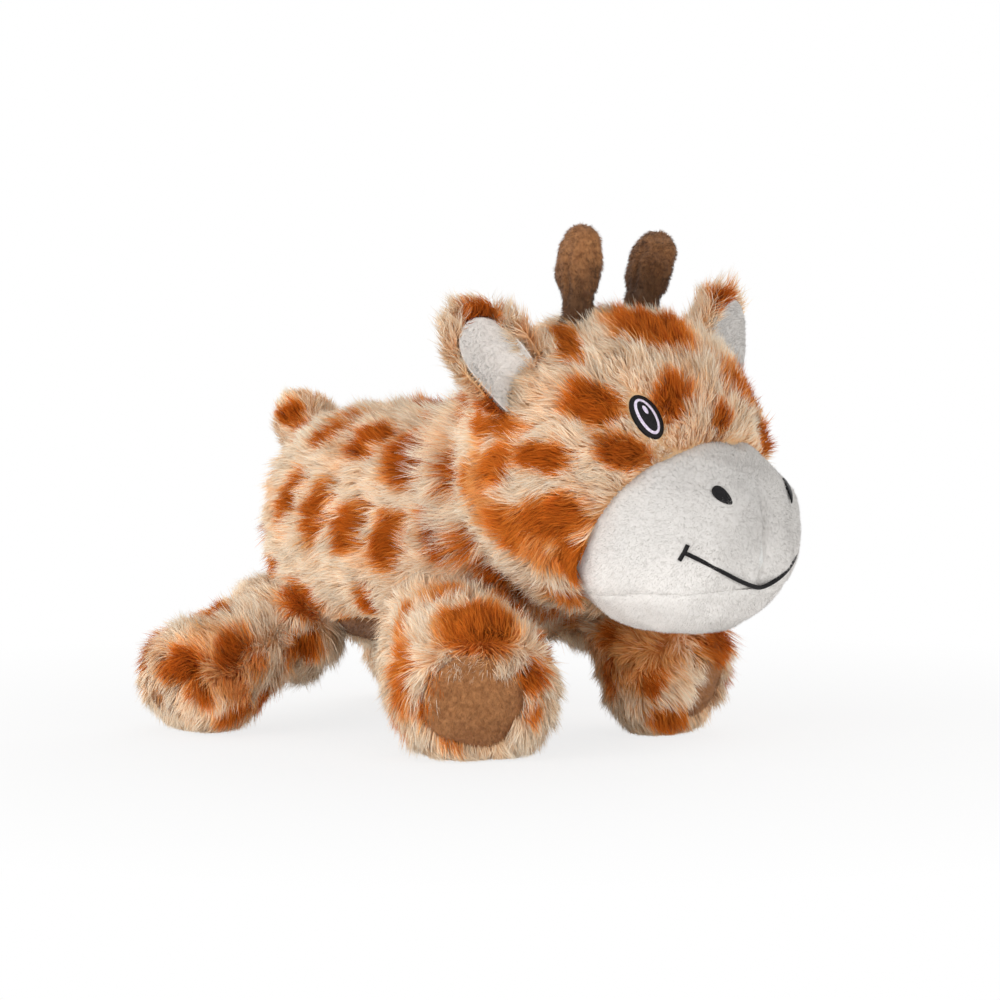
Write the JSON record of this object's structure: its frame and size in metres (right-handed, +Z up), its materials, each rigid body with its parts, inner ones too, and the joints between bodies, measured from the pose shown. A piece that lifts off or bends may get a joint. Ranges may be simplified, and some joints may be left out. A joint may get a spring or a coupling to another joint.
{
  "type": "plush giraffe",
  "caption": "Stuffed toy giraffe standing on short splayed legs, with long fur, short-pile muzzle and ossicones, cupped ears and embroidered eyes, nostrils and smile.",
  "frame": {"origin": "middle of the bounding box in plan, at floor level under the feet", "axes": "+X where the toy looks, +Y to its left, +Z up"},
  "size_m": [0.2844, 0.2094, 0.2262],
  "materials": {
    "fur": "long cream pile with orange-brown spots",
    "short_pile_brown": "short brown pile",
    "short_pile_white": "short off-white pile",
    "stuffing": "loose white polyester fibre",
    "embroidery_black": "black satin stitch",
    "embroidery_pale": "pale lilac satin stitch"
  },
  "bodies": {
    "torso": {"torso_cover": "fur", "torso_filling": "stuffing", "belly_panel": "short_pile_brown"},
    "neck": {"neck": "fur"},
    "head": {"head_cover": "fur", "head_filling": "stuffing", "muzzle_upper": "short_pile_white", "muzzle_chin": "short_pile_white", "mouth": "embroidery_black", "nostril_right": "embroidery_black", "nostril_left": "embroidery_black", "eye_right_outline": "embroidery_black", "eye_right_ring": "embroidery_pale", "eye_right_pupil": "embroidery_black", "eye_right_glint": "embroidery_pale", "eye_left_outline": "embroidery_black", "eye_left_ring": "embroidery_pale", "eye_left_pupil": "embroidery_black", "eye_left_glint": "embroidery_pale"},
    "ear_right": {"ear_right_back": "fur", "ear_right_lining": "short_pile_white"},
    "ear_left": {"ear_left_back": "fur", "ear_left_lining": "short_pile_white"},
    "ossicone_right": {"ossicone_right": "short_pile_brown"},
    "ossicone_left": {"ossicone_left": "short_pile_brown"},
    "tail": {"tail": "fur"},
    "front_right_leg": {"front_right_leg_cover": "fur", "front_right_leg_filling": "stuffing", "front_right_hoof_patch": "short_pile_brown"},
    "front_left_leg": {"front_left_leg_cover": "fur", "front_left_leg_filling": "stuffing", "front_left_hoof_patch": "short_pile_brown"},
    "hind_right_leg": {"hind_right_leg_cover": "fur", "hind_right_leg_filling": "stuffing", "hind_right_hoof_patch": "short_pile_brown"},
    "hind_left_leg": {"hind_left_leg_cover": "fur", "hind_left_leg_filling": "stuffing", "hind_left_hoof_patch": "short_pile_brown"}
  },
  "joints": [
    {"name": "neck_turn", "type": "hinge", "parent": "torso", "child": "neck", "pos_m": [0.00636, 0, 0.106], "axis": [0, 0, 1], "range_deg": [-10, 10], "stiffness_Nm_per_rad": 2.5},
    {"name": "head_nod", "type": "hinge", "parent": "neck", "child": "head", "pos_m": [0.00636, 0, 0.106], "axis": [0, 1, 0], "range_deg": [-8, 4], "stiffness_Nm_per_rad": 2.5},
    {"name": "front_right_leg_lift", "type": "hinge", "parent": "torso", "child": "front_right_leg", "pos_m": [-0.00564, -0.036, 0.0472], "axis": [0.6018, 0.7986, 0], "range_deg": [-6, 8], "stiffness_Nm_per_rad": 4},
    {"name": "front_left_leg_lift", "type": "hinge", "parent": "torso", "child": "front_left_leg", "pos_m": [-0.00564, 0.036, 0.0472], "axis": [-0.225, 0.9744, 0], "range_deg": [-6, 8], "stiffness_Nm_per_rad": 4},
    {"name": "hind_right_leg_lift", "type": "hinge", "parent": "torso", "child": "hind_right_leg", "pos_m": [-0.10164, -0.038, 0.04435], "axis": [0.9511, -0.309, 0], "range_deg": [-6, 8], "stiffness_Nm_per_rad": 4},
    {"name": "hind_left_leg_lift", "type": "hinge", "parent": "torso", "child": "hind_left_leg", "pos_m": [-0.10164, 0.038, 0.04435], "axis": [-0.9511, -0.309, 0], "range_deg": [-6, 8], "stiffness_Nm_per_rad": 4},
    {"name": "ear_right_flap", "type": "hinge", "parent": "head", "child": "ear_right", "pos_m": [0.0544, -0.05674, 0.15302], "axis": [1, 0, 0], "range_deg": [-12, 12], "stiffness_Nm_per_rad": 0.12},
    {"name": "ear_left_flap", "type": "hinge", "parent": "head", "child": "ear_left", "pos_m": [0.06135, 0.05692, 0.15302], "axis": [1, 0, 0], "range_deg": [-12, 12], "stiffness_Nm_per_rad": 0.12},
    {"name": "ossicone_right_tilt", "type": "hinge", "parent": "head", "child": "ossicone_right", "pos_m": [0.05436, -0.02, 0.18128], "axis": [0, 1, 0], "range_deg": [-15, 15], "stiffness_Nm_per_rad": 0.12},
    {"name": "ossicone_left_tilt", "type": "hinge", "parent": "head", "child": "ossicone_left", "pos_m": [0.05436, 0.02, 0.18128], "axis": [0, 1, 0], "range_deg": [-15, 15], "stiffness_Nm_per_rad": 0.12},
    {"name": "tail_wag", "type": "hinge", "parent": "torso", "child": "tail", "pos_m": [-0.10964, 0, 0.11944], "axis": [0.7071, 0, 0.7071], "range_deg": [-20, 20], "stiffness_Nm_per_rad": 0.12}
  ]
}
